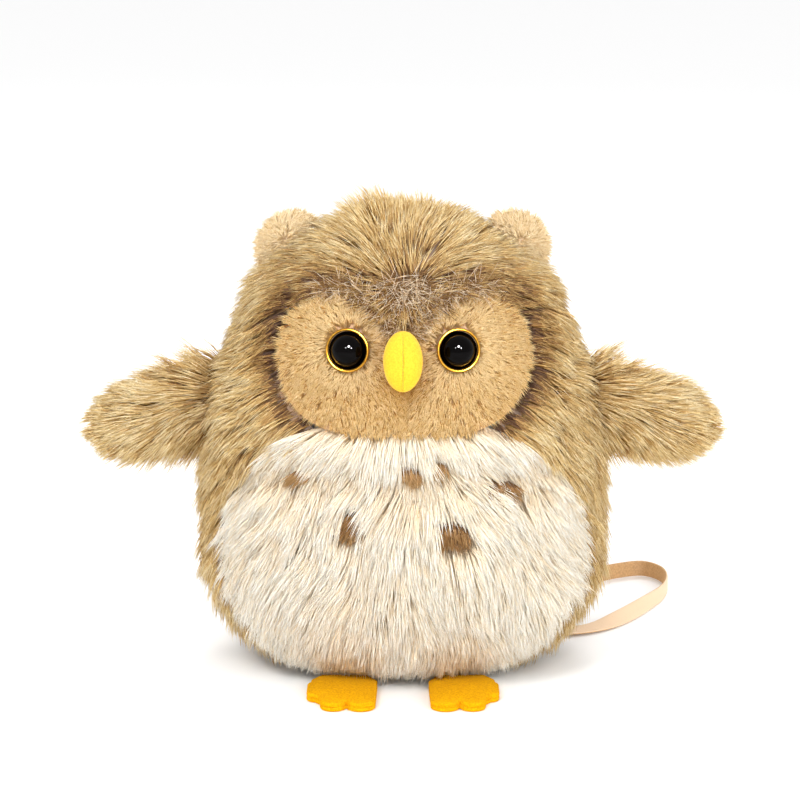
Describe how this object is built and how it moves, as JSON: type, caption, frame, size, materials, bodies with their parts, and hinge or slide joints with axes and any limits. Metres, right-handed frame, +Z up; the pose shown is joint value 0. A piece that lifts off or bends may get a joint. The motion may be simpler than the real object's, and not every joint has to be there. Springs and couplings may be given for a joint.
{
  "type": "plush owl shoulder bag",
  "caption": "Round plush owl with spread wings, safety eyes, felt beak and feet, a zipped pocket in its back and a thin clip-on shoulder strap.",
  "frame": {"origin": "centre of the object's footprint, on the surface that it stands on, without the strap", "axes": "+Z up, -Y towards the owl's face, +X towards the owl's left wing, which is the viewer's right"},
  "size_m": [0.2478, 0.2292, 0.189],
  "materials": {
    "brown_plush": "long pile plush, brown at the roots and pale at the tips",
    "cream_plush": "long cream pile plush",
    "face_plush": "short tan pile plush",
    "ear_plush": "short pale pile plush",
    "spot_plush": "short brown plush",
    "stuffing_fibre": "polyester fibre filling",
    "lining_cloth": "plain woven lining",
    "zip_tape": "woven zip tape",
    "zip_teeth": "moulded nylon teeth",
    "gold_metal": "light gold plated metal",
    "black_dome": "polished black dome",
    "washer_plastic": "white nylon",
    "beak_felt": "bright yellow felt",
    "foot_felt": "orange-yellow felt",
    "strap_leather": "smooth cream imitation leather"
  },
  "bodies": {
    "body": {"stuffing": "stuffing_fibre", "pocket_lining": "lining_cloth", "crown_panel": "brown_plush", "face_panel": "face_plush", "belly_panel": "cream_plush", "side_panel_left": "brown_plush", "side_panel_right": "brown_plush", "base_panel": "brown_plush", "zip_tape_left": "zip_tape", "zip_tape_right": "zip_tape", "zip_teeth_left": "zip_teeth", "zip_teeth_right": "zip_teeth", "zip_top_stop": "gold_metal", "zip_bottom_stop": "gold_metal", "eye_dome_left": "black_dome", "eye_dome_right": "black_dome", "eye_ring_left": "gold_metal", "eye_ring_right": "gold_metal", "eye_washer_left": "washer_plastic", "eye_washer_right": "washer_plastic", "beak_left": "beak_felt", "beak_right": "beak_felt", "beak_wadding": "stuffing_fibre", "feather_spot_1": "spot_plush", "feather_spot_2": "spot_plush", "feather_spot_3": "spot_plush", "feather_spot_4": "spot_plush", "feather_spot_5": "spot_plush", "feather_spot_6": "spot_plush", "strap_tab_left": "strap_leather", "strap_tab_right": "strap_leather", "d_ring_left": "gold_metal", "d_ring_right": "gold_metal", "clasp_left": "gold_metal", "clasp_right": "gold_metal", "strap_end_left": "strap_leather", "strap_end_right": "strap_leather", "strap_run_right": "strap_leather", "strap_roll": "strap_leather", "strap_run_left": "strap_leather"},
    "slider": {"zip_slider": "gold_metal"},
    "pull": {"zip_pull": "gold_metal"},
    "wing_left": {"wing_front_left": "brown_plush", "wing_back_left": "brown_plush", "wing_wadding_left": "stuffing_fibre"},
    "foot_left": {"foot_top_left": "foot_felt", "foot_sole_left": "foot_felt"},
    "ear_left": {"ear_front_left": "ear_plush", "ear_back_left": "brown_plush"},
    "gate_left": {"clasp_gate_left": "gold_metal"},
    "wing_right": {"wing_front_right": "brown_plush", "wing_back_right": "brown_plush", "wing_wadding_right": "stuffing_fibre"},
    "foot_right": {"foot_top_right": "foot_felt", "foot_sole_right": "foot_felt"},
    "ear_right": {"ear_front_right": "ear_plush", "ear_back_right": "brown_plush"},
    "gate_right": {"clasp_gate_right": "gold_metal"}
  },
  "joints": [
    {"name": "wing_left_swing", "type": "hinge", "parent": "body", "child": "wing_left", "pos_m": [-0.0756, 0.006, 0.107], "axis": [0.2027, 0, 0.9792], "range_deg": [-40, 50], "stiffness_Nm_per_rad": 0.03},
    {"name": "wing_right_swing", "type": "hinge", "parent": "body", "child": "wing_right", "pos_m": [0.0756, 0.006, 0.107], "axis": [0.2027, 0, -0.9792], "range_deg": [-40, 50], "stiffness_Nm_per_rad": 0.03},
    {"name": "foot_left_lift", "type": "hinge", "parent": "body", "child": "foot_left", "pos_m": [-0.024, -0.033, 0.0038], "axis": [-1, 0, 0], "range_deg": [0, 20], "stiffness_Nm_per_rad": 0.02},
    {"name": "foot_right_lift", "type": "hinge", "parent": "body", "child": "foot_right", "pos_m": [0.024, -0.033, 0.0038], "axis": [-1, 0, 0], "range_deg": [0, 20], "stiffness_Nm_per_rad": 0.02},
    {"name": "ear_left_fold", "type": "hinge", "parent": "body", "child": "ear_left", "pos_m": [-0.0467, 0.007, 0.1712], "axis": [0.6947, 0, 0.7193], "range_deg": [-20, 20], "stiffness_Nm_per_rad": 0.02},
    {"name": "ear_right_fold", "type": "hinge", "parent": "body", "child": "ear_right", "pos_m": [0.0467, 0.007, 0.1712], "axis": [0.6947, 0, -0.7193], "range_deg": [-20, 20], "stiffness_Nm_per_rad": 0.02},
    {"name": "zip_slide", "type": "slide", "parent": "body", "child": "slider", "axis": [0, 0.0872, -0.9962], "range_m": [0, 0.06], "deforming": ["zip_teeth_left", "zip_teeth_right"]},
    {"name": "pull_swing", "type": "hinge", "parent": "slider", "child": "pull", "pos_m": [0, 0.05973, 0.1334], "axis": [1, 0, 0], "range_deg": [0, 160]},
    {"name": "gate_left_press", "type": "hinge", "parent": "body", "child": "gate_left", "pos_m": [-0.038, 0.05585, 0.14489], "axis": [1, 0, 0], "range_deg": [0, 15], "stiffness_Nm_per_rad": 0.002},
    {"name": "gate_right_press", "type": "hinge", "parent": "body", "child": "gate_right", "pos_m": [0.038, 0.05585, 0.14489], "axis": [1, 0, 0], "range_deg": [0, 15], "stiffness_Nm_per_rad": 0.002}
  ]
}
